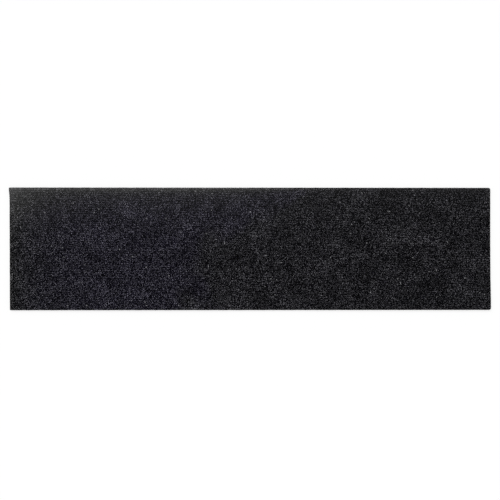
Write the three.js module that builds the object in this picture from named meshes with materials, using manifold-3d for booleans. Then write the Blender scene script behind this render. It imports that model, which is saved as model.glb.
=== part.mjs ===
// Anti slip stair tread mat.
//
// A strip of ribbed needle felt, bonded all over to a sheet of rubber that grips the stair, and
// die-cut to its outline in one stroke. Millimetres, +Z up. The origin is on the underside, in the
// middle of the mat. +X runs along the tread, and +Y runs back towards the riser.

import * as THREE from 'three';
import { mergeVertices } from 'three/addons/utils/BufferGeometryUtils.js';
import Module from 'manifold-3d';

const wasm = await Module();
wasm.setup();

// Outline of the mat
const MAT_LENGTH = 750;
const MAT_WIDTH = 190;
const LEFT_CORNER_RADIUS = 1.6;
const RIGHT_CORNER_RADIUS = 2.8;
const CORNER_FLAT_COUNT = 8;

// Rubber backing
const BACKING_THICKNESS = 1.5;

// Needle felt face, measured up from the backing
const GROOVE_FLOOR = 3.0;
const RIB_HEIGHT = 1.0;
const FELT_HEIGHT = GROOVE_FLOOR + RIB_HEIGHT;

// Ribs: rounded cords with a narrow groove between them. The mat was cut a little off the grain,
// so they run down to the right by this angle.
const RIB_PITCH = 3.56;
const GROOVE_WIDTH = 0.56;
const RIB_SKEW = THREE.MathUtils.degToRad(0.46);
const RIB_FLAT_COUNT = 6;

// The cutting die presses the felt's top edge down into a small round. In a tight corner there is
// room only for a smaller one.
const EDGE_ROUND = 1.0;
const EDGE_FLAT_COUNT = 2;
const MOST_OF_CORNER = 0.8;

const feltMaterial = new THREE.MeshStandardMaterial({
  name: 'charcoal needle felt',
  color: 0x222225,
  roughness: 0.95,
  metalness: 0,
});

const rubberMaterial = new THREE.MeshStandardMaterial({
  name: 'black rubber',
  color: 0x171718,
  roughness: 0.8,
  metalness: 0,
});

// An arc is drawn with two flats for each of its curve segments.
const curveSegmentsFor = (flatCount) => flatCount / 2;

// Mat outline seen from above, centred on the origin.
function matOutline() {
  const right = MAT_LENGTH / 2;
  const back = MAT_WIDTH / 2;
  const leftRadius = LEFT_CORNER_RADIUS;
  const rightRadius = RIGHT_CORNER_RADIUS;
  const quarter = Math.PI / 2;
  const outline = new THREE.Shape();
  outline.absarc(right - rightRadius, back - rightRadius, rightRadius, 0, quarter);
  outline.absarc(-right + leftRadius, back - leftRadius, leftRadius, quarter, 2 * quarter);
  outline.absarc(-right + leftRadius, -back + leftRadius, leftRadius, 2 * quarter, 3 * quarter);
  outline.absarc(right - rightRadius, -back + rightRadius, rightRadius, 3 * quarter, 4 * quarter);
  return outline;
}

// Cross section of the felt: a flat underside, and half-round ribs side by side on top.
// Its own x runs across the ribs and its own y runs up. It is at least as wide as span.
function ribbedSection(span) {
  const ribCount = Math.ceil(span / RIB_PITCH);
  const edge = (ribCount * RIB_PITCH) / 2;
  const ribHalfWidth = (RIB_PITCH - GROOVE_WIDTH) / 2;
  const section = new THREE.Shape();
  section.moveTo(-edge, 0);
  section.lineTo(-edge, GROOVE_FLOOR);
  for (let rib = 0; rib < ribCount; rib++) {
    const crown = -edge + (rib + 0.5) * RIB_PITCH;
    section.absellipse(crown, GROOVE_FLOOR, ribHalfWidth, RIB_HEIGHT, Math.PI, 0, true);
  }
  section.lineTo(edge, GROOVE_FLOOR);
  section.lineTo(edge, 0);
  return section;
}

// A roll of ribbed felt, large enough to cut the mat from at the skew angle.
function feltBlank() {
  const across = MAT_WIDTH * Math.cos(RIB_SKEW) + MAT_LENGTH * Math.sin(RIB_SKEW);
  const along = MAT_LENGTH * Math.cos(RIB_SKEW) + MAT_WIDTH * Math.sin(RIB_SKEW);
  const blank = new THREE.ExtrudeGeometry(ribbedSection(across + RIB_PITCH), {
    depth: along + RIB_PITCH,
    bevelEnabled: false,
    curveSegments: curveSegmentsFor(RIB_FLAT_COUNT),
  });
  blank.translate(0, 0, -(along + RIB_PITCH) / 2);
  const acrossIsY = new THREE.Vector3(0, 1, 0);
  const upIsZ = new THREE.Vector3(0, 0, 1);
  const alongIsX = new THREE.Vector3(1, 0, 0);
  blank.applyMatrix4(new THREE.Matrix4().makeBasis(acrossIsY, upIsZ, alongIsX));
  blank.rotateZ(-RIB_SKEW);
  return blank;
}

// The space inside the cutting die: the mat's outline, with its upper edge rounded over. Its lower
// edge lies below the felt, where the round cuts nothing.
function dieSpace() {
  const tightestCorner = Math.min(LEFT_CORNER_RADIUS, RIGHT_CORNER_RADIUS);
  const round = Math.min(EDGE_ROUND, MOST_OF_CORNER * tightestCorner);
  const space = new THREE.ExtrudeGeometry(matOutline(), {
    depth: FELT_HEIGHT,
    bevelThickness: round,
    bevelSize: round,
    bevelOffset: -round,
    bevelSegments: EDGE_FLAT_COUNT,
    curveSegments: curveSegmentsFor(CORNER_FLAT_COUNT),
  });
  space.translate(0, 0, -round);
  return space;
}

function toSolid(geometry) {
  geometry.deleteAttribute('normal');
  geometry.deleteAttribute('uv');
  const merged = mergeVertices(geometry);
  return new wasm.Manifold(new wasm.Mesh({
    numProp: 3,
    vertProperties: merged.attributes.position.array,
    triVerts: new Uint32Array(merged.index.array),
  }));
}

function toGeometry(solid) {
  const { vertProperties, triVerts } = solid.getMesh();
  const geometry = new THREE.BufferGeometry();
  geometry.setAttribute('position', new THREE.BufferAttribute(vertProperties, 3));
  geometry.setIndex(new THREE.BufferAttribute(triVerts, 1));
  geometry.computeVertexNormals();
  return geometry;
}

function feltFace() {
  const geometry = toGeometry(toSolid(feltBlank()).intersect(toSolid(dieSpace())));
  const face = new THREE.Mesh(geometry, feltMaterial);
  face.name = 'felt_face';
  face.position.z = BACKING_THICKNESS;
  return face;
}

function rubberBacking() {
  const sheet = new THREE.ExtrudeGeometry(matOutline(), {
    depth: BACKING_THICKNESS,
    bevelEnabled: false,
    curveSegments: curveSegmentsFor(CORNER_FLAT_COUNT),
  });
  const backing = new THREE.Mesh(sheet, rubberMaterial);
  backing.name = 'rubber_backing';
  return backing;
}

const stairTreadMat = new THREE.Group();
stairTreadMat.name = 'stair_tread_mat';
stairTreadMat.add(rubberBacking(), feltFace());

export default stairTreadMat;
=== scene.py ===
# %% [markdown]
# # An anti slip stair tread mat
#
# The mat is a strip of charcoal needle felt with fine ribs along its length, bonded all over to a
# thin sheet of rubber that grips the stair. Both layers are cut to shape together, and the edges
# are left plain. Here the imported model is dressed: the felt gets its springy ribs, its heather of
# black, grey and pale fibres and its fuzzy cut edges, and the rubber gets its matte grain.

# %% Open the frame
import math
import random

import bmesh
import bpy
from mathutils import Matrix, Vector, noise


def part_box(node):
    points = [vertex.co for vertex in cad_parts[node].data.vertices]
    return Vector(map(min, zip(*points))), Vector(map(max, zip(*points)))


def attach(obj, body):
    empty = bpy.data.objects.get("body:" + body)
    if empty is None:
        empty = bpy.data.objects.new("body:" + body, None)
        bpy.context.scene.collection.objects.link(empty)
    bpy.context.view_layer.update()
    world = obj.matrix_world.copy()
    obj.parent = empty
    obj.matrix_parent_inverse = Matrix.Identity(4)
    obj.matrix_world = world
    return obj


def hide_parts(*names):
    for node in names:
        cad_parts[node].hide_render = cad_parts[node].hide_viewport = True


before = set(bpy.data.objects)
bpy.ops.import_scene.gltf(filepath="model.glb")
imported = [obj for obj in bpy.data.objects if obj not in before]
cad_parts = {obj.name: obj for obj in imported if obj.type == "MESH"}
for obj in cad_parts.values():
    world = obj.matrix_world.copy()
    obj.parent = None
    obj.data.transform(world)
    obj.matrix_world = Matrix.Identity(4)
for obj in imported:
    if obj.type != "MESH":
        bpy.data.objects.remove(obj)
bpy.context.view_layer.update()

FELT_LOW, FELT_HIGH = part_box("felt_face")
RUBBER_LOW, RUBBER_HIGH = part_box("rubber_backing")
MAT_LENGTH = FELT_HIGH.x - FELT_LOW.x
MAT_WIDTH = FELT_HIGH.y - FELT_LOW.y
FELT_HEIGHT = FELT_HIGH.z - FELT_LOW.z
MM = 0.001
print(f"mat {MAT_LENGTH / MM:.1f} by {MAT_WIDTH / MM:.1f} mm, felt {FELT_HEIGHT / MM:.1f} mm thick")

# %% [markdown]
# ## Camera
#
# The photograph looks straight down. A camera that isn't turned already looks along -Z with +Y at
# the top of the picture, so it only needs its place. The mat's two ends in the photograph give the
# metres for each pixel, and the lens follows from those and the camera's height. A tall camera
# with a long lens keeps the cut sides out of sight, as the photograph does.

# %% Set the camera
PHOTO_SIDE_PX = 500
LEFT_END_PX = 9.58
RIGHT_END_PX = 490.35
MIDDLE_ROW_PX = 248.88
CAMERA_HEIGHT = 2.6
METRES_PER_PX = MAT_LENGTH / (RIGHT_END_PX - LEFT_END_PX)


def set_camera():
    data = bpy.data.cameras.new("camera")
    data.lens = data.sensor_width * CAMERA_HEIGHT / (PHOTO_SIDE_PX * METRES_PER_PX)
    camera = bpy.data.objects.new("camera", data)
    middle_column = (LEFT_END_PX + RIGHT_END_PX) / 2
    right = (PHOTO_SIDE_PX / 2 - middle_column) * METRES_PER_PX
    down = (PHOTO_SIDE_PX / 2 - MIDDLE_ROW_PX) * METRES_PER_PX
    camera.location = (right, -down, FELT_HIGH.z + CAMERA_HEIGHT)
    bpy.context.scene.collection.objects.link(camera)
    bpy.context.scene.camera = camera
    print(f"lens {data.lens:.1f} mm, {METRES_PER_PX / MM:.3f} mm a pixel")


set_camera()

# %% [markdown]
# ## Floor and light
#
# The background is plain white. The light is what a studio gives: an even sky from all round, and
# a broad soft sun from behind and to the left, together at the level where a colour renders about
# as it is written. The camera sees the floor mostly as plain white and partly as lit paint, so it
# stays white and still keeps the mat's soft shadow. The floor lies a hair below the mat and is open
# under it, so a camera below the floor sees the rubber. From above the mat hides the opening.

# %% Lay the floor and hang the lights
FLOOR_REACH = 6.0
FLOOR_DROP = 0.05 * MM
OPENING_MARGIN = 2 * MM
FLOOR_GREY = 0.8
PLAIN_WHITE_SHARE = 0.8
SKY_STRENGTH = 0.66
SUN_STRENGTH = 1.45
SUN_TILT = math.radians(38)
SUN_TURN = math.radians(35)
SUN_ANGLE = math.radians(24)


def new_material(name):
    material = bpy.data.materials.new(name)
    material.use_nodes = True
    material.node_tree.nodes.clear()
    output = material.node_tree.nodes.new("ShaderNodeOutputMaterial")
    return material, material.node_tree.nodes, material.node_tree.links, output


def floor_material():
    material, nodes, links, output = new_material("white_floor")
    path = nodes.new("ShaderNodeLightPath")
    dull = nodes.new("ShaderNodeBsdfDiffuse")
    dull.inputs["Color"].default_value = (FLOOR_GREY, FLOOR_GREY, FLOOR_GREY, 1)
    white = nodes.new("ShaderNodeBsdfDiffuse")
    white.inputs["Color"].default_value = (1, 1, 1, 1)
    plain = nodes.new("ShaderNodeEmission")
    seen = nodes.new("ShaderNodeMixShader")
    seen.inputs[0].default_value = PLAIN_WHITE_SHARE
    links.new(white.outputs["BSDF"], seen.inputs[1])
    links.new(plain.outputs["Emission"], seen.inputs[2])
    either = nodes.new("ShaderNodeMixShader")
    links.new(path.outputs["Is Camera Ray"], either.inputs[0])
    links.new(dull.outputs["BSDF"], either.inputs[1])
    links.new(seen.outputs["Shader"], either.inputs[2])
    links.new(either.outputs["Shader"], output.inputs["Surface"])
    return material


def lay_floor():
    """Lays the floor, and opens it under the mat."""
    size = Vector((MAT_LENGTH + 2 * FLOOR_REACH, MAT_WIDTH + 2 * FLOOR_REACH, 1))
    bm = bmesh.new()
    bmesh.ops.create_grid(bm, x_segments=1, y_segments=1, size=0.5)
    bmesh.ops.scale(bm, vec=size, verts=bm.verts)
    inset = FLOOR_REACH + OPENING_MARGIN
    bmesh.ops.inset_individual(bm, faces=bm.faces[:], thickness=inset, use_even_offset=True)
    middle = min(bm.faces, key=lambda face: face.calc_center_median().length)
    bmesh.ops.delete(bm, geom=[middle], context="FACES_ONLY")
    bmesh.ops.translate(bm, vec=(0, 0, RUBBER_LOW.z - FLOOR_DROP), verts=bm.verts)
    mesh = bpy.data.meshes.new("floor")
    bm.to_mesh(mesh)
    bm.free()
    floor = bpy.data.objects.new("floor", mesh)
    bpy.context.scene.collection.objects.link(floor)
    mesh.materials.append(floor_material())


def light_sky():
    world = bpy.data.worlds.new("studio")
    world.use_nodes = True
    nodes, links = world.node_tree.nodes, world.node_tree.links
    nodes.clear()
    output = nodes.new("ShaderNodeOutputWorld")
    sky = nodes.new("ShaderNodeBackground")
    sky.inputs["Color"].default_value = (1, 1, 1, 1)
    path = nodes.new("ShaderNodeLightPath")
    strength = nodes.new("ShaderNodeMapRange")
    strength.inputs["To Min"].default_value = SKY_STRENGTH
    strength.inputs["To Max"].default_value = 1.0
    links.new(path.outputs["Is Camera Ray"], strength.inputs["Value"])
    links.new(strength.outputs["Result"], sky.inputs["Strength"])
    links.new(sky.outputs["Background"], output.inputs["Surface"])
    bpy.context.scene.world = world


def hang_sun():
    data = bpy.data.lights.new("soft_sun", "SUN")
    data.energy = SUN_STRENGTH
    data.angle = SUN_ANGLE
    sun = bpy.data.objects.new("soft_sun", data)
    sun.rotation_euler = (-SUN_TILT, 0, SUN_TURN)
    bpy.context.scene.collection.objects.link(sun)


lay_floor()
light_sky()
hang_sun()
bpy.context.scene.view_settings.view_transform = "Standard"
print(f"sky {SKY_STRENGTH}, sun {SUN_STRENGTH} at {math.degrees(SUN_TILT):.0f} degrees from above")

# %% [markdown]
# ## The cut
#
# The die leaves a rectangle, but felt is springy and doesn't lie quite where it was cut. In the
# photograph the left end is a millimetre wider than the right one and leans a little, one back
# corner and the front corner across from it are drawn out by a millimetre, the edges waver, and the
# ribs have sprung apart by about half a percent. One function moves a point of the true rectangle to
# its place on the real mat. Every piece is built true and passed through it last, so the layers keep
# together.

# %% Say how the cut strays from a true rectangle
SPRING_BACK = 0.0055
WOBBLE = 0.14 * MM
WOBBLE_LENGTH = 12 * MM
OTHER_WOBBLE = Vector((0, 0, 7))
TAPER = 0.006
LEFT_END_LEAN = 0.6 * MM
DRAWN_CORNERS = ((-1, 1, 1.3 * MM, 9.5 * MM), (1, -1, 1.15 * MM, 50 * MM))
CORNER_WIDTH = 25 * MM


def as_cut(x, y):
    """Where a point of the true rectangle lies on the real mat."""
    here = Vector((x, y, 0)) / WOBBLE_LENGTH
    lean = LEFT_END_LEAN * (0.5 - x / MAT_LENGTH) * y / MAT_WIDTH
    cut_x = x - lean + WOBBLE * noise.noise(here)
    cut_y = y * (1 + SPRING_BACK - TAPER * x / MAT_LENGTH)
    cut_y += WOBBLE * noise.noise(here + OTHER_WOBBLE)
    for end, side, pull, reach in DRAWN_CORNERS:
        from_end = MAT_LENGTH / 2 - end * x
        from_side = MAT_WIDTH / 2 - side * y
        cut_x += end * pull * math.exp(-from_end / CORNER_WIDTH - (from_side / reach) ** 2)
    return cut_x, cut_y


corner_x, corner_y = as_cut(-MAT_LENGTH / 2, MAT_WIDTH / 2)
print(f"the back left corner lies at {corner_x / MM:.1f}, {corner_y / MM:.1f} mm")

# %% [markdown]
# ## The felt's surface
#
# The ribs of needle felt are rows of fibre loops, 3.56 mm apart. Each is a soft round cord with a
# narrow groove beside it. One function gives the height of that surface anywhere on the mat. The
# felt's own mesh and the loose fibres on it both ask this function, so they always fit.

# %% Say how high the felt is at a place
RIB_PITCH = 3.56 * MM
GROOVE_WIDTH = 0.56 * MM
RIB_HEIGHT = 1.0 * MM
RIB_SKEW = math.radians(0.46)
GROOVE_FLOOR = FELT_HEIGHT - RIB_HEIGHT
RIB_HALF_WIDTH = (RIB_PITCH - GROOVE_WIDTH) / 2
ALONG_RIBS = Vector((math.cos(RIB_SKEW), -math.sin(RIB_SKEW), 0))
ACROSS_RIBS = Vector((math.sin(RIB_SKEW), math.cos(RIB_SKEW), 0))
WAVER = 0.12 * MM
WAVER_LENGTH = 45 * MM
LUMP_HEIGHT = 0.16 * MM
LUMP_LENGTH = 2.6 * MM


def rib_at(x, y):
    """How far up its rib a place is, from 0 in a groove to 1 on a crown."""
    here = Vector((x, y, 0))
    sway = WAVER * noise.noise(here / WAVER_LENGTH)
    turns = (here.dot(ACROSS_RIBS) + sway) / RIB_PITCH
    off_crown = abs(turns - round(turns)) * RIB_PITCH
    share = min(1.0, off_crown / RIB_HALF_WIDTH)
    return math.sqrt(1.0 - share * share)


def felt_height(x, y):
    """Height of the felt above the rubber, with its ribs and lumps."""
    lump = LUMP_HEIGHT * noise.noise(Vector((x, y, 0)) / LUMP_LENGTH)
    return GROOVE_FLOOR + RIB_HEIGHT * rib_at(x, y) + lump


print(f"the felt is {felt_height(0, 0) / MM:.2f} mm high in the middle of the mat")

# %% [markdown]
# ## The heather
#
# Heather is a mixture: the fibres are dyed black, several greys and a slate blue, and blended
# unevenly, so the felt has darker and paler clouds. There is more slate to the left and the back
# of the mat. The blend is also made paler towards the left end, which is painted light falling from
# that side. Along the back edge, and most of all near its left corner, a painted highlight is added
# over the blend: the glow of light catching that edge, which also hides the slate. One function says
# how pale and how blue the blend is at a place, and how strong the painted glow is. The felt's own
# colour reads them from its vertices, and the loose fibres ask for them when they pick their dye.

# %% Say how the heather is blended at a place
CLOUD_LENGTH = 40 * MM
CLOUD_SPREAD = 0.45
CLOUD_SOFTNESS = 0.4
CLOUD_STEP = 2.0
CLOUD_LAYERS = 3
# Painted light: the blend is paler towards the left end, as if lit more from that side.
PAINTED_LIGHT_LEFT_TO_RIGHT = 0.27
# Painted highlight: the back edge glows where light catches it, most of all near its left corner.
BACK_GLOW_LEVEL = 0.0200
GLOW_HIDES_SLATE = 1.6
BACK_GLOW = 0.88
BACK_GLOW_FADE = 30 * MM
RIM_GLOW = 2.8
RIM_GLOW_FADE = 3.0 * MM
BACK_GLOW_TURN = 39 * MM
BACK_GLOW_TURN_LENGTH = 35 * MM
BACK_GLOW_AT_RIGHT = 0.25
CORNER_GLOW = 1.7
CORNER_GLOW_LENGTH = 31 * MM
CORNER_GLOW_WIDTH = 42 * MM
SLATE_ENDS_AT = -55 * MM
SLATE_FADE = 55 * MM
SLATE_AT_BACK = 3.3
PLAIN_BLUENESS = 0.3
PLAIN_END = 45 * MM
PATCH_LENGTH = 40 * MM
PATCH_SPREAD = 1.2
OTHER_PATCH = Vector((3, 0, 0))


def back_glow_at(x, y):
    """How strong the painted glow along the back edge is at a place. At 0 there is none."""
    from_left = MAT_LENGTH / 2 + x
    from_back = MAT_WIDTH / 2 - y
    left_part = 1 / (1 + math.exp((x - BACK_GLOW_TURN) / BACK_GLOW_TURN_LENGTH))
    along_back = BACK_GLOW_AT_RIGHT + (1 - BACK_GLOW_AT_RIGHT) * left_part
    band = BACK_GLOW * math.exp(-from_back / BACK_GLOW_FADE) + RIM_GLOW * math.exp(-from_back / RIM_GLOW_FADE)
    corner = math.exp(-((from_back / CORNER_GLOW_WIDTH) ** 2) - from_left / CORNER_GLOW_LENGTH)
    return along_back * band + CORNER_GLOW * corner


def heather(x, y):
    """Paleness, blueness and painted glow at a place. A paleness of 1 is the middle tone."""
    here = Vector((x, y, 0))
    # The painted glow of the back edge, which also hides the slate.
    glow_share = back_glow_at(x, y)
    cloud = noise.fractal(here / CLOUD_LENGTH, CLOUD_SOFTNESS, CLOUD_STEP, CLOUD_LAYERS)
    # Painted light, paler towards the left end.
    painted_light_slope = 1 - PAINTED_LIGHT_LEFT_TO_RIGHT * x / MAT_LENGTH
    paleness = painted_light_slope * math.exp(CLOUD_SPREAD * cloud)
    patch = PATCH_SPREAD * noise.noise(here / PATCH_LENGTH + OTHER_PATCH)
    to_back = max(0.0, 2 * y / MAT_WIDTH)
    slate = (SLATE_ENDS_AT - x) / SLATE_FADE + SLATE_AT_BACK * to_back + patch
    slate = min(1.0, max(0.0, slate))
    from_end = 1 - math.exp(-(MAT_LENGTH / 2 + x) / PLAIN_END)
    blueness = (PLAIN_BLUENESS + (1 - PLAIN_BLUENESS) * slate) * from_end
    blueness *= math.exp(-GLOW_HIDES_SLATE * glow_share**2)
    return paleness, blueness, BACK_GLOW_LEVEL * glow_share


middle_blend = ", ".join(f"{value:.2f}" for value in heather(0, 0))
print(f"paleness, blueness and veil in the middle of the mat: {middle_blend}")

# %% [markdown]
# ## The felt's body
#
# The body starts as a box. Its upright corners are bevelled to the radii that the cutting die
# gave them, and its top edge is bevelled to a small round. Planes then slice it along and across
# the ribs, and every vertex is lifted or lowered to the height of the felt at its place. Slicing
# keeps the outline crisp, which a grid with its corners pulled in would not. A flat UV map comes
# last, so that the felt's colour can be baked into a picture.

# %% Cut the blank of a layer
LEFT_CORNER_RADIUS = 1.6 * MM
RIGHT_CORNER_RADIUS = 2.8 * MM
CORNER_SEGMENTS = 4
RIM_SEGMENTS = 2
ON_PLANE = 1e-7


def round_off(bm, edges, radius, segments):
    bmesh.ops.bevel(
        bm,
        geom=edges,
        offset=radius,
        segments=segments,
        profile=0.5,
        affect="EDGES",
        material=-1,
    )


def blank(low, high):
    """A slab between two corners of a box, with its upright corners rounded as the die cuts them."""
    bm = bmesh.new()
    bmesh.ops.create_cube(bm, size=1)
    bmesh.ops.scale(bm, vec=high - low, verts=bm.verts)
    bmesh.ops.translate(bm, vec=(high + low) / 2, verts=bm.verts)
    for end, radius in ((-1, LEFT_CORNER_RADIUS), (1, RIGHT_CORNER_RADIUS)):
        uprights = [
            edge
            for edge in bm.edges
            if abs(edge.verts[0].co.z - edge.verts[1].co.z) > (high.z - low.z) / 2
            and edge.verts[0].co.x * end > MAT_LENGTH / 2 - LEFT_CORNER_RADIUS / 2
        ]
        round_off(bm, uprights, radius, CORNER_SEGMENTS)
    return bm


def round_rim(bm, level, radius):
    """Rounds the edges that lie at one height."""
    rim = [edge for edge in bm.edges if all(abs(v.co.z - level) < MM / 100 for v in edge.verts)]
    round_off(bm, rim, radius, RIM_SEGMENTS)


def slice_along(bm, direction, stations):
    """Cuts the mesh by planes square to direction, from the lowest station to the highest."""
    ahead = bm.faces[:]
    for station in sorted(stations):
        edges = {edge for face in ahead for edge in face.edges}
        verts = {vert for face in ahead for vert in face.verts}
        cut = bmesh.ops.bisect_plane(
            bm,
            geom=[*verts, *edges, *ahead],
            plane_co=direction * station,
            plane_no=direction,
            dist=ON_PLANE,
        )
        faces = [item for item in cut["geom"] if isinstance(item, bmesh.types.BMFace)]
        ahead = [face for face in faces if face.calc_center_median().dot(direction) > station]


# %% Slice the felt and shape its ribs
EDGE_ROUND = 1.0 * MM
COLUMN_STEP = 2.4 * MM
RIB_STATIONS = (-1.0, -0.57, 0.0, 0.57, 1.0)
SIDE_LEVELS = 3
SIDE_FRAY = 0.12 * MM
SIDE_FRAY_LENGTH = 2.5 * MM
FRAYED_SHARE = 0.9
GLOW_FALL = 3
# Painted shade in the grooves, and paler crowns that are partly worn loops and partly painted light.
GROOVE_SHADE = 0.78
CROWN_SHADE = 1.08
CUT_EDGE_SLOT = 1
STEEPEST_TOP = 0.3
OUTWARD = ((0, 0, 1), (0, 0, -1), (0, -1, 0), (0, 1, 0), (-1, 0, 0), (1, 0, 0))
MAP_NAME = "OFBake"
MAP_BANDS = ((0.24, 0.99), (0.16, 0.22), (0.12, 0.15), (0.08, 0.11), (0.04, 0.07), (0.0, 0.03))
MAP_LENGTH = MAT_LENGTH + 6 * MM
MAP_WIDTH = MAT_WIDTH + 6 * MM
MAP_HEIGHT = FELT_HEIGHT + 1 * MM


def rib_lines():
    reach = (MAT_WIDTH * math.cos(RIB_SKEW) + MAT_LENGTH * math.sin(RIB_SKEW)) / 2
    last = math.ceil(reach / RIB_PITCH)
    ribs = range(-last, last + 1)
    return [rib * RIB_PITCH + share * RIB_HALF_WIDTH for rib in ribs for share in RIB_STATIONS]


def felt_body():
    bm = blank(FELT_LOW, FELT_HIGH)
    round_rim(bm, FELT_HIGH.z, EDGE_ROUND)
    floor = [face for face in bm.faces if face.normal.z < -0.5]
    bmesh.ops.delete(bm, geom=floor, context="FACES_ONLY")
    levels = range(1, SIDE_LEVELS)
    slice_along(bm, Vector((0, 0, 1)), [FELT_LOW.z + GROOVE_FLOOR * n / SIDE_LEVELS for n in levels])
    slice_along(bm, ACROSS_RIBS, rib_lines())
    columns = int(MAT_LENGTH / COLUMN_STEP)
    slice_along(bm, ALONG_RIBS, [(n - columns / 2) * COLUMN_STEP for n in range(columns + 1)])
    rim = [edge for edge in bm.edges if edge.is_boundary]
    bmesh.ops.contextual_create(bm, geom=rim)
    return bm


def tell_heather(bm):
    """Keeps the blend of the heather on each vertex, with painted shade in the grooves and paler
    crowns, partly worn loops and partly painted light. The painted glow thins out down the cut edge.
    """
    pale = bm.verts.layers.float.new("paleness_with_painted_shading")
    blue = bm.verts.layers.float.new("heather_blueness")
    glow = bm.verts.layers.float.new("painted_glow")
    for vert in bm.verts:
        x, y, z = vert.co
        paleness, vert[blue], over = heather(x, y)
        vert[glow] = over * ((z - FELT_LOW.z) / FELT_HEIGHT) ** GLOW_FALL
        # Painted shade in the grooves and painted light on the crowns.
        vert[pale] = paleness * (GROOVE_SHADE + (CROWN_SHADE - GROOVE_SHADE) * rib_at(x, y))


def shape_ribs(bm):
    """Lifts the box to the height of the felt, moves it to where the cut lies and frays its sides."""
    for vert in bm.verts:
        x, y, z = vert.co
        share = (z - FELT_LOW.z) / FELT_HEIGHT
        fray = 0.0
        if 0 < share < FRAYED_SHARE:
            fray = SIDE_FRAY * noise.noise(vert.co / SIDE_FRAY_LENGTH)
        cut_x, cut_y = as_cut(x, y)
        outward = Vector((x / MAT_LENGTH, y / MAT_WIDTH, 0)).normalized() * fray
        vert.co = (cut_x, cut_y, FELT_LOW.z + share * felt_height(x, y))
        vert.co += outward
    bmesh.ops.recalc_face_normals(bm, faces=bm.faces)
    for face in bm.faces:
        face.material_index = CUT_EDGE_SLOT if abs(face.normal.z) < STEEPEST_TOP else 0


def map_flat(bm):
    """A flat map for baking. The top fills most of it, and the other faces get bands below."""
    uv = bm.loops.layers.uv.new(MAP_NAME)
    for face in bm.faces:
        side = max(OUTWARD, key=lambda way: face.normal.dot(Vector(way)))
        low, high = MAP_BANDS[OUTWARD.index(side)]
        for loop in face.loops:
            x, y, z = loop.vert.co
            u = y / MAP_WIDTH if side[0] else x / MAP_LENGTH
            v = y / MAP_WIDTH if side[2] else (z - FELT_LOW.z) / MAP_HEIGHT - 0.5
            loop[uv].uv = (0.5 + u, low + (high - low) * (0.5 + v))


def to_piece(bm, name):
    mesh = bpy.data.meshes.new(name)
    bm.to_mesh(mesh)
    bm.free()
    mesh.shade_smooth()
    piece = bpy.data.objects.new(name, mesh)
    bpy.context.scene.collection.objects.link(piece)
    triangles = sum(len(face.vertices) - 2 for face in mesh.polygons)
    print(f"{name}: {triangles} triangles")
    return piece


felt_mesh = felt_body()
tell_heather(felt_mesh)
shape_ribs(felt_mesh)
map_flat(felt_mesh)
felt = to_piece(felt_mesh, "ribbed_felt")
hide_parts("felt_face")
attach(felt, "root")

# %% [markdown]
# ## The felt's colour
#
# Close to, felt is locks of fibre in every direction, and the one on top hides the rest. Three
# stretched Voronoi patterns stand for three layers of locks, turned away from each other. Each
# cell is a lock with a random height, fine stretched noise splits it into strands, and the highest
# of the three wins. All of it is measured in Object coordinates, so it stays on the felt.

# %% Stack the locks
LOCK_LENGTH = 0.95 * MM
LOCK_WIDTH = 0.5 * MM
STRAND_LENGTH = 1.4 * MM
STRAND_WIDTH = 0.10 * MM
STRAND_DEPTH = 0.3
STRAND_DETAIL = 1
CRIMP = 0.5 * MM
CRIMP_SCALE = 500
CRIMP_DETAIL = 1
LOCK_HEADINGS = (0.35, 1.45, 2.5)


def noise_at(nodes, links, place, scale, detail):
    """A noise texture that is read at a place."""
    texture = nodes.new("ShaderNodeTexNoise")
    texture.inputs["Scale"].default_value = scale
    texture.inputs["Detail"].default_value = detail
    links.new(place, texture.inputs["Vector"])
    return texture


def reckoned(nodes, links, operation, first, second):
    """What a Math node makes of two numbers."""
    node = nodes.new("ShaderNodeMath")
    node.operation = operation
    links.new(first, node.inputs[0])
    links.new(second, node.inputs[1])
    return node.outputs["Value"]


def crimped_place(nodes, links):
    """Object coordinates, bent a little so that the locks aren't straight."""
    place = nodes.new("ShaderNodeTexCoord").outputs["Object"]
    bend = noise_at(nodes, links, place, CRIMP_SCALE, CRIMP_DETAIL)
    shift = nodes.new("ShaderNodeVectorMath")
    shift.operation = "MULTIPLY_ADD"
    shift.inputs[1].default_value = (CRIMP, CRIMP, CRIMP)
    links.new(bend.outputs["Color"], shift.inputs[0])
    links.new(place, shift.inputs[2])
    return shift.outputs["Vector"]


def stretched(nodes, links, place, heading, size, shift=0.0):
    """Coordinates in which one unit is as long and wide as size, turned to a heading."""
    mapping = nodes.new("ShaderNodeMapping")
    mapping.vector_type = "TEXTURE"
    mapping.inputs["Location"].default_value = (shift, shift, 0)
    mapping.inputs["Rotation"].default_value = (0, 0, heading)
    mapping.inputs["Scale"].default_value = (*size, 1)
    links.new(place, mapping.inputs["Vector"])
    return mapping.outputs["Vector"]


def drawn_out(nodes, links, place, heading, size, detail):
    """Noise that is drawn out along one heading, like fibres of a size."""
    along = stretched(nodes, links, place, heading, size)
    fibrous = noise_at(nodes, links, along, 1, detail)
    fibrous.noise_dimensions = "2D"
    return fibrous.outputs["Fac"]


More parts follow.
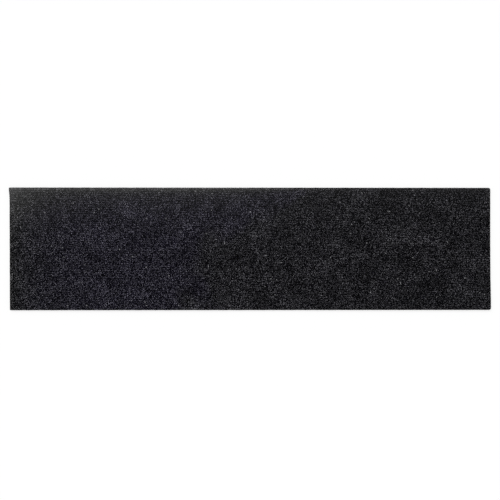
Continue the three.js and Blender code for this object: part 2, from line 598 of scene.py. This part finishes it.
def layer_of_locks(nodes, links, place, heading):
    """The height of a layer of locks that all lie near one heading, about 0 to 1."""
    locks = nodes.new("ShaderNodeTexVoronoi")
    locks.voronoi_dimensions = "2D"
    locks.inputs["Scale"].default_value = 1
    lock_size = (LOCK_LENGTH, LOCK_WIDTH)
    along = stretched(nodes, links, place, heading, lock_size, shift=heading)
    links.new(along, locks.inputs["Vector"])
    height = nodes.new("ShaderNodeSeparateColor")
    links.new(locks.outputs["Color"], height.inputs["Color"])
    strand_size = (STRAND_LENGTH, STRAND_WIDTH)
    strands = drawn_out(nodes, links, place, heading, strand_size, STRAND_DETAIL)
    split = nodes.new("ShaderNodeMapRange")
    split.inputs["To Min"].default_value = -STRAND_DEPTH / 2
    split.inputs["To Max"].default_value = STRAND_DEPTH / 2
    links.new(strands, split.inputs["Value"])
    return reckoned(nodes, links, "ADD", split.outputs["Result"], height.outputs["Red"])


def highest(nodes, links, layers):
    top = layers[0]
    for layer in layers[1:]:
        top = reckoned(nodes, links, "MAXIMUM", top, layer)
    return top


# %% [markdown]
# ## The dyes
#
# A colour ramp dyes the lock on top, from black where the stack is low to silver where it is high.
# Slate blue shows most in the dark tones, because the pale fibres have hardly taken it, so the
# ramp's alpha says how much of it each tone takes. The vertices say how pale and how blue the blend
# is at a place, with painted shade in the grooves and painted light on the crowns and the left end
# in the paleness, and an Attribute node reads them. That way the loose fibres can follow it too.

# %% Dye the felt
DYES = (
    (0.27, 0.0002),
    (0.46, 0.0004),
    (0.63, 0.0007),
    (0.79, 0.0020),
    (0.89, 0.0056),
    (0.947, 0.0150),
    (0.98, 0.043),
    (1.0, 0.222),
)
PLAIN_GREY = (1.0, 1.0, 1.03)
SLATE_BLUE = (1.16, 1.0, 1.98)
HALF_SLATE = 0.045


def slate_share(level):
    """How much of the slate blue a fibre of a given paleness takes. The palest are hardly dyed."""
    return 1 / (1 + level / HALF_SLATE)


def dyed(nodes, links, height, dyes):
    """A ramp from dark to pale. Its alpha is the share of slate that each tone takes."""
    ramp = nodes.new("ShaderNodeValToRGB")
    elements = ramp.color_ramp.elements
    elements.remove(elements[1])
    for number, (position, level) in enumerate(dyes):
        stop = elements[0] if number == 0 else elements.new(position)
        stop.position = position
        stop.color = (level, level, level, slate_share(level))
    links.new(height, ramp.inputs["Fac"])
    return ramp


def attribute(nodes, name):
    told = nodes.new("ShaderNodeAttribute")
    told.attribute_name = name
    return told.outputs["Fac"]


def blended(nodes, links, ramp):
    """The dye from a ramp, made paler and bluer as the vertices say."""
    blueness = attribute(nodes, "heather_blueness")
    tint = nodes.new("ShaderNodeMix")
    tint.data_type = "RGBA"
    tint.inputs["A"].default_value = (*PLAIN_GREY, 1)
    tint.inputs["B"].default_value = (*SLATE_BLUE, 1)
    share = reckoned(nodes, links, "MULTIPLY", blueness, ramp.outputs["Alpha"])
    links.new(share, tint.inputs["Factor"])
    scaled = nodes.new("ShaderNodeVectorMath")
    scaled.operation = "SCALE"
    links.new(tint.outputs["Result"], scaled.inputs["Vector"])
    links.new(attribute(nodes, "paleness_with_painted_shading"), scaled.inputs["Scale"])
    colour = nodes.new("ShaderNodeVectorMath")
    colour.operation = "MULTIPLY"
    links.new(ramp.outputs["Color"], colour.inputs[0])
    links.new(scaled.outputs["Vector"], colour.inputs[1])
    return colour.outputs["Vector"]


# %% [markdown]
# ## The painted glow
#
# Along the back edge a painted highlight stands for light catching the felt there. It hides little of
# what lies below, so its tone is added to the colour. Noise that is drawn out at three headings
# splits the glow into fine streaks, because an even glow would look like dust on plastic.

# %% Draw the painted glow
GLOW_STREAK_HEADINGS = (0.9, 2.1, 2.9)
GLOW_STREAK_LENGTH = 1.8 * MM
GLOW_STREAK_WIDTH = 0.09 * MM
GLOW_STREAK_DETAIL = 2
NO_GLOW_NOISE = 0.40
FULL_GLOW_NOISE = 0.78
BRIGHTEST_GLOW_STREAK = 2


def glow_streaks(nodes, links, place):
    """How strong the streaks of painted glow are, about 1 on average."""
    layers = []
    for heading in GLOW_STREAK_HEADINGS:
        streak_size = (GLOW_STREAK_LENGTH, GLOW_STREAK_WIDTH)
        layers.append(drawn_out(nodes, links, place, heading, streak_size, GLOW_STREAK_DETAIL))
    density = nodes.new("ShaderNodeMapRange")
    density.inputs["From Min"].default_value = NO_GLOW_NOISE
    density.inputs["From Max"].default_value = FULL_GLOW_NOISE
    density.inputs["To Max"].default_value = BRIGHTEST_GLOW_STREAK
    links.new(highest(nodes, links, layers), density.inputs["Value"])
    return density.outputs["Result"]


def glow_added(nodes, links, colour, glow_pattern):
    """The colour with the painted glow added."""
    glow = reckoned(nodes, links, "MULTIPLY", attribute(nodes, "painted_glow"), glow_pattern)
    over = nodes.new("ShaderNodeVectorMath")
    over.operation = "ADD"
    links.new(colour, over.inputs[0])
    links.new(glow, over.inputs[1])
    return over.outputs["Vector"]


# %% [markdown]
# ## The top of the felt
#
# Felt is dull: nearly as rough as can be, with hardly any shine and a trace of sheen. The height
# that picks the dye also makes the bump, so the palest strands stand up most.

# %% Put the felt's top together
FELT_ROUGHNESS = 0.95
FELT_SHINE = 0.02
FELT_SHEEN = 0.05
FELT_SHEEN_ROUGHNESS = 0.3
FELT_BUMP = 0.15 * MM


def bumped(nodes, links, height, distance):
    bump = nodes.new("ShaderNodeBump")
    bump.inputs["Distance"].default_value = distance
    links.new(height, bump.inputs["Height"])
    return bump.outputs["Normal"]


def felt_shader(nodes, links, output):
    shader = nodes.new("ShaderNodeBsdfPrincipled")
    shader.inputs["Roughness"].default_value = FELT_ROUGHNESS
    shader.inputs["Specular IOR Level"].default_value = FELT_SHINE
    shader.inputs["Sheen Weight"].default_value = FELT_SHEEN
    shader.inputs["Sheen Roughness"].default_value = FELT_SHEEN_ROUGHNESS
    links.new(shader.outputs["BSDF"], output.inputs["Surface"])
    return shader


def felt_top():
    material, nodes, links, output = new_material("charcoal_heather_felt")
    place = crimped_place(nodes, links)
    layers = [layer_of_locks(nodes, links, place, heading) for heading in LOCK_HEADINGS]
    height = highest(nodes, links, layers)
    shader = felt_shader(nodes, links, output)
    colour = blended(nodes, links, dyed(nodes, links, height, DYES))
    glow_pattern = glow_streaks(nodes, links, place)
    # The base colour carries the painted glow of the back edge.
    links.new(glow_added(nodes, links, colour, glow_pattern), shader.inputs["Base Color"])
    links.new(bumped(nodes, links, height, FELT_BUMP), shader.inputs["Normal"])
    print(f"{material.name}: {len(nodes)} nodes")
    return material


felt.data.materials.append(felt_top())

# %% [markdown]
# ## The felt's cut edge
#
# Needle felt is a stack of thin webs of fibre, so its cut edge shows fine level streaks. Noise that
# is squashed flat in height makes them, on the front, the back and both ends alike.

# %% Streak the cut edge
STREAK_LENGTH = 1.6 * MM
STREAK_HEIGHT = 0.14 * MM
STREAK_DETAIL = 5
STREAK_ROUGHNESS = 0.65
EDGE_DYES = ((0.36, 0.0015), (0.46, 0.0050), (0.54, 0.0125), (0.62, 0.030), (0.72, 0.10))
EDGE_BUMP = 0.2 * MM


def felt_edge():
    material, nodes, links, output = new_material("cut_felt_edge")
    flat = nodes.new("ShaderNodeMapping")
    flat.vector_type = "TEXTURE"
    flat.inputs["Scale"].default_value = (STREAK_LENGTH, STREAK_LENGTH, STREAK_HEIGHT)
    links.new(crimped_place(nodes, links), flat.inputs["Vector"])
    streaks = noise_at(nodes, links, flat.outputs["Vector"], 1, STREAK_DETAIL)
    streaks.inputs["Roughness"].default_value = STREAK_ROUGHNESS
    height = streaks.outputs["Fac"]
    shader = felt_shader(nodes, links, output)
    colour = blended(nodes, links, dyed(nodes, links, height, EDGE_DYES))
    # Painted glow of the back edge on the cut edge as well, in its streaks, thinning out lower down.
    links.new(glow_added(nodes, links, colour, height), shader.inputs["Base Color"])
    links.new(bumped(nodes, links, height, EDGE_BUMP), shader.inputs["Normal"])
    print(f"{material.name}: {len(nodes)} nodes")
    return material


felt.data.materials.append(felt_edge())

# %% [markdown]
# ## Loose fibres
#
# A tangle of real fibres would be millions of hairs, so each strand here stands for a few of them.
# A strand is a curve of four points that springs out of the felt, lies over a rib and dives back
# in, with a three-sided section that is smooth-shaded to look round. Strands come in small tufts
# of one dye, because that is how fibres clump when needles punch them. Here and there is a nep, a
# small pale knot of fibres. They are made as curves, because a curve sweeps a section without any
# face lists, and then turned into meshes.

# %% Mix the dyes of the loose fibres
DYE_NAMES = ("black", "coal", "graphite", "pewter", "ash", "silver")
DARKEST_DYE = 0.0015
DYE_STEP = 3.0


def fibre_material(name, level, blueness):
    material, nodes, links, output = new_material(name)
    shader = felt_shader(nodes, links, output)
    tint = Vector(PLAIN_GREY).lerp(Vector(SLATE_BLUE), blueness * slate_share(level))
    shader.inputs["Base Color"].default_value = (*(tint * level), 1)
    return material


FIBRE_DYES = [
    fibre_material(f"{name}_{family}_fibre", DARKEST_DYE * DYE_STEP**number, blueness)
    for family, blueness in (("grey", 0), ("slate", 1))
    for number, name in enumerate(DYE_NAMES)
]

PALEST_GREY = DYE_NAMES.index("silver")

# %% Lay the fibres
STRAND_RADIUS = 0.12 * MM
STRAND_RISE = (-0.2 * MM, 0.1 * MM, 0.14 * MM, -0.2 * MM)
STRAND_TAPER = (0.7, 1.0, 1.0, 0.6)
STRAND_BEND = 0.45
TUFT = {"strands": 3, "width": 0.7 * MM, "splay": 0.3, "lengths": (1.6 * MM, 3.4 * MM)}
NEP = {"strands": 16, "width": 0.5 * MM, "splay": 1.5, "lengths": (1.0 * MM, 1.8 * MM)}
INSIDE_EDGE = 0.3 * MM
MIDDLE_DYE = 0.0074
DYE_SPREAD = 1.4
STRIPS = ("left", "mid_left", "mid_right", "right")
FIRST_SEED = 100
TUFTS_IN_STRIP = 2300
NEPS_IN_STRIP = 14


def strand_points(rng, x, y, heading, length):
    step = length / (len(STRAND_RISE) - 1)
    bend = rng.uniform(-STRAND_BEND, STRAND_BEND)
    points = []
    for rise in STRAND_RISE:
        points.append((x, y, FELT_LOW.z + felt_height(x, y) + rise))
        x += step * math.cos(heading)
        y += step * math.sin(heading)
        heading += bend
    return points


def on_mat(points):
    reach_x = MAT_LENGTH / 2 - INSIDE_EDGE
    reach_y = MAT_WIDTH / 2 - INSIDE_EDGE
    return all(abs(x) < reach_x and abs(y) < reach_y for x, y, z in points)


def pick_dye(rng, x, y):
    """The number of a dye, drawn at random round the blend of the heather at a place, and made paler
    by the painted glow there.
    """
    paleness, blueness, glow = heather(x, y)
    # The painted glow of the back edge makes the fibres paler there.
    level = MIDDLE_DYE * paleness * math.exp(rng.gauss(0, DYE_SPREAD)) + glow
    number = round(math.log(level / DARKEST_DYE) / math.log(DYE_STEP))
    number = min(len(DYE_NAMES) - 1, max(0, number))
    family = 1 if rng.random() < blueness else 0
    return family * len(DYE_NAMES) + number


def section_curve(radius):
    """A small triangle, the cross section of every strand."""
    data = bpy.data.curves.new("strand_section", "CURVE")
    spline = data.splines.new("POLY")
    spline.points.add(2)
    for corner, point in enumerate(spline.points):
        turn = -corner * 2 * math.pi / 3
        point.co = (radius * math.cos(turn), radius * math.sin(turn), 0, 1)
    spline.use_cyclic_u = True
    section = bpy.data.objects.new("strand_section", data)
    bpy.context.scene.collection.objects.link(section)
    return section


def new_strands(name, radius):
    data = bpy.data.curves.new(name, "CURVE")
    data.dimensions = "3D"
    data.bevel_mode = "OBJECT"
    data.bevel_object = section_curve(radius)
    data.use_fill_caps = True
    for dye in FIBRE_DYES:
        data.materials.append(dye)
    return data


def add_strand(data, points, taper, dye):
    spline = data.splines.new("POLY")
    spline.points.add(len(points) - 1)
    for point, (x, y, z), thickness in zip(spline.points, points, taper):
        point.co = (*as_cut(x, y), z, 1)
        point.radius = thickness
    spline.material_index = dye
    spline.use_smooth = True


def strands_to_piece(data):
    name = data.name
    section = data.bevel_object
    curve = bpy.data.objects.new(name, data)
    bpy.context.scene.collection.objects.link(curve)
    shown = curve.evaluated_get(bpy.context.evaluated_depsgraph_get())
    mesh = bpy.data.meshes.new_from_object(shown)
    strands = len(data.splines)
    bpy.data.objects.remove(curve)
    bpy.data.objects.remove(section)
    bm = bmesh.new()
    bm.from_mesh(mesh)
    bmesh.ops.remove_doubles(bm, verts=bm.verts, dist=MM / 1000)
    bmesh.ops.recalc_face_normals(bm, faces=bm.faces)
    open_edges = sum(not edge.is_manifold for edge in bm.edges)
    volume = bm.calc_volume(signed=True)
    bm.to_mesh(mesh)
    bm.free()
    mesh.name = name
    piece = bpy.data.objects.new(name, mesh)
    bpy.context.scene.collection.objects.link(piece)
    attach(piece, "root")
    triangles = sum(len(face.vertices) - 2 for face in mesh.polygons)
    print(f"{name}: {strands} strands, {triangles} triangles, {open_edges} open edges")
    print(f"{name}: {volume / MM**3:.0f} cubic millimetres")
    return piece


def add_clump(rng, data, kind, start):
    """Adds a tuft or a nep somewhere in the strip that starts at start."""
    middle_x = start + rng.random() * MAT_LENGTH / len(STRIPS)
    middle_y = rng.uniform(-0.5, 0.5) * MAT_WIDTH
    heading = rng.uniform(0, math.pi)
    dye = PALEST_GREY if kind is NEP else pick_dye(rng, middle_x, middle_y)
    for _ in range(kind["strands"]):
        x = middle_x + rng.uniform(-0.5, 0.5) * kind["width"]
        y = middle_y + rng.uniform(-0.5, 0.5) * kind["width"]
        turn = rng.uniform(-kind["splay"], kind["splay"])
        points = strand_points(rng, x, y, heading + turn, rng.uniform(*kind["lengths"]))
        if on_mat(points):
            add_strand(data, points, STRAND_TAPER, dye)


def strip_of_fibres(number, name):
    rng = random.Random(FIRST_SEED + number)
    data = new_strands(f"{name}_fibres", STRAND_RADIUS)
    start = -MAT_LENGTH / 2 + number * MAT_LENGTH / len(STRIPS)
    for _ in range(TUFTS_IN_STRIP):
        add_clump(rng, data, TUFT, start)
    for _ in range(NEPS_IN_STRIP):
        add_clump(rng, data, NEP, start)
    return strands_to_piece(data)


fibres = [strip_of_fibres(number, name) for number, name in enumerate(STRIPS)]

# %% [markdown]
# ## Fuzz on the cut edge
#
# The die cuts through fibres that lie in every direction, and their ends stand out of the edge by
# half a millimetre or so. They are finer than the strands on top and point outwards all the way
# round, with a little of each one still inside the felt. The same curves make them.

# %% Let the cut ends stand out
FUZZ_RADIUS = 0.07 * MM
FUZZ_STRANDS = 4200
FUZZ_TAPER = (1.0, 0.9, 0.4)
FUZZ_ROOT = 0.5 * MM
FUZZ_REACH = (0.1 * MM, 0.6 * MM)
FUZZ_SWAY = 0.6 * MM
FUZZ_LEVELS = (0.1, 1.0)
FUZZ_LIFT = 0.5
MIDDLE_LIFT = 0.3
FUZZ_SEED = 7


def place_on_edge(rng):
    """A place on the outline of the mat, and the way out from there."""
    reach = MAT_LENGTH / 2 - RIGHT_CORNER_RADIUS
    side = MAT_WIDTH / 2 - RIGHT_CORNER_RADIUS
    if rng.random() < MAT_LENGTH / (MAT_LENGTH + MAT_WIDTH):
        out = Vector((0, rng.choice((-1, 1)), 0))
        return Vector((rng.uniform(-reach, reach), out.y * MAT_WIDTH / 2, 0)), out
    out = Vector((rng.choice((-1, 1)), 0, 0))
    return Vector((out.x * MAT_LENGTH / 2, rng.uniform(-side, side), 0)), out


def fuzz_points(rng):
    edge, out = place_on_edge(rng)
    aside = Vector((-out.y, out.x, 0))
    up = Vector((0, 0, 1))
    edge.z = FELT_LOW.z + rng.uniform(*FUZZ_LEVELS) * GROOVE_FLOOR
    reach = rng.uniform(*FUZZ_REACH)
    sway = rng.uniform(-FUZZ_SWAY, FUZZ_SWAY)
    lift = rng.uniform(-FUZZ_LIFT, FUZZ_LIFT) * reach
    root = edge - out * FUZZ_ROOT - aside * sway / 2
    middle = edge + out * reach / 2 + up * lift * MIDDLE_LIFT
    tip = edge + out * reach + aside * sway + up * lift
    return [root, middle, tip]


def edge_fuzz():
    rng = random.Random(FUZZ_SEED)
    data = new_strands("edge_fuzz", FUZZ_RADIUS)
    for _ in range(FUZZ_STRANDS):
        points = fuzz_points(rng)
        add_strand(data, points, FUZZ_TAPER, pick_dye(rng, points[0].x, points[0].y))
    return strands_to_piece(data)


fuzz = edge_fuzz()

# %% [markdown]
# ## The rubber backing
#
# The rubber is coated on the felt's back and cut with it, so it has the same outline, with a crisp
# edge above and a slightly softened one below. It is made from the same blank as the felt and sliced
# coarsely, just enough to follow the cut. The photograph doesn't show the underside, so it is plain.

# %% Cut the rubber
RUBBER_EDGE = 0.15 * MM
RUBBER_STEP = 7 * MM


def rubber_body():
    bm = blank(RUBBER_LOW, RUBBER_HIGH)
    round_rim(bm, RUBBER_LOW.z, RUBBER_EDGE)
    for direction, size in ((Vector((1, 0, 0)), MAT_LENGTH), (Vector((0, 1, 0)), MAT_WIDTH)):
        steps = int(size / RUBBER_STEP / 2)
        slice_along(bm, direction, [step * RUBBER_STEP for step in range(-steps, steps + 1)])
    for vert in bm.verts:
        vert.co.x, vert.co.y = as_cut(vert.co.x, vert.co.y)
    bmesh.ops.recalc_face_normals(bm, faces=bm.faces)
    return bm


rubber = to_piece(rubber_body(), "rubber_sheet")
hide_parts("rubber_backing")
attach(rubber, "root")

# %% [markdown]
# ## The rubber's grain
#
# The backing of such a mat is a foamed rubber with a fine matte grain and a faint mottle. Two noises
# make it: a coarse one for the mottle in tone and roughness, and a fine one for the grain. The grain
# is in the tone as well as in the bump, because a bump alone hardly shows in even light.

# %% Give the rubber its grain
MOTTLE_SCALE = 90
MOTTLE_DETAIL = 4
GRAIN_SCALE = 1500
GRAIN_DETAIL = 2
GRAIN_DEPTH = 0.12 * MM
GRAIN_SHARE = 0.55
RUBBER_TONES = ((0.36, 0.0025), (0.5, 0.0086), (0.64, 0.027))
SMOOTHEST_RUBBER = 0.45
ROUGHEST_RUBBER = 0.95
RUBBER_SHINE = 0.25


def black_rubber():
    material, nodes, links, output = new_material("matte_black_rubber")
    place = nodes.new("ShaderNodeTexCoord").outputs["Object"]
    mottle = noise_at(nodes, links, place, MOTTLE_SCALE, MOTTLE_DETAIL).outputs["Fac"]
    grain = noise_at(nodes, links, place, GRAIN_SCALE, GRAIN_DETAIL).outputs["Fac"]
    both = nodes.new("ShaderNodeMix")
    both.inputs["Factor"].default_value = GRAIN_SHARE
    links.new(mottle, both.inputs["A"])
    links.new(grain, both.inputs["B"])
    tones = dyed(nodes, links, both.outputs["Result"], RUBBER_TONES)
    rough = nodes.new("ShaderNodeMapRange")
    rough.inputs["To Min"].default_value = SMOOTHEST_RUBBER
    rough.inputs["To Max"].default_value = ROUGHEST_RUBBER
    links.new(mottle, rough.inputs["Value"])
    shader = nodes.new("ShaderNodeBsdfPrincipled")
    shader.inputs["Specular IOR Level"].default_value = RUBBER_SHINE
    links.new(tones.outputs["Color"], shader.inputs["Base Color"])
    links.new(rough.outputs["Result"], shader.inputs["Roughness"])
    links.new(bumped(nodes, links, grain, GRAIN_DEPTH), shader.inputs["Normal"])
    links.new(shader.outputs["BSDF"], output.inputs["Surface"])
    print(f"{material.name}: {len(nodes)} nodes")
    return material


rubber.data.materials.append(black_rubber())
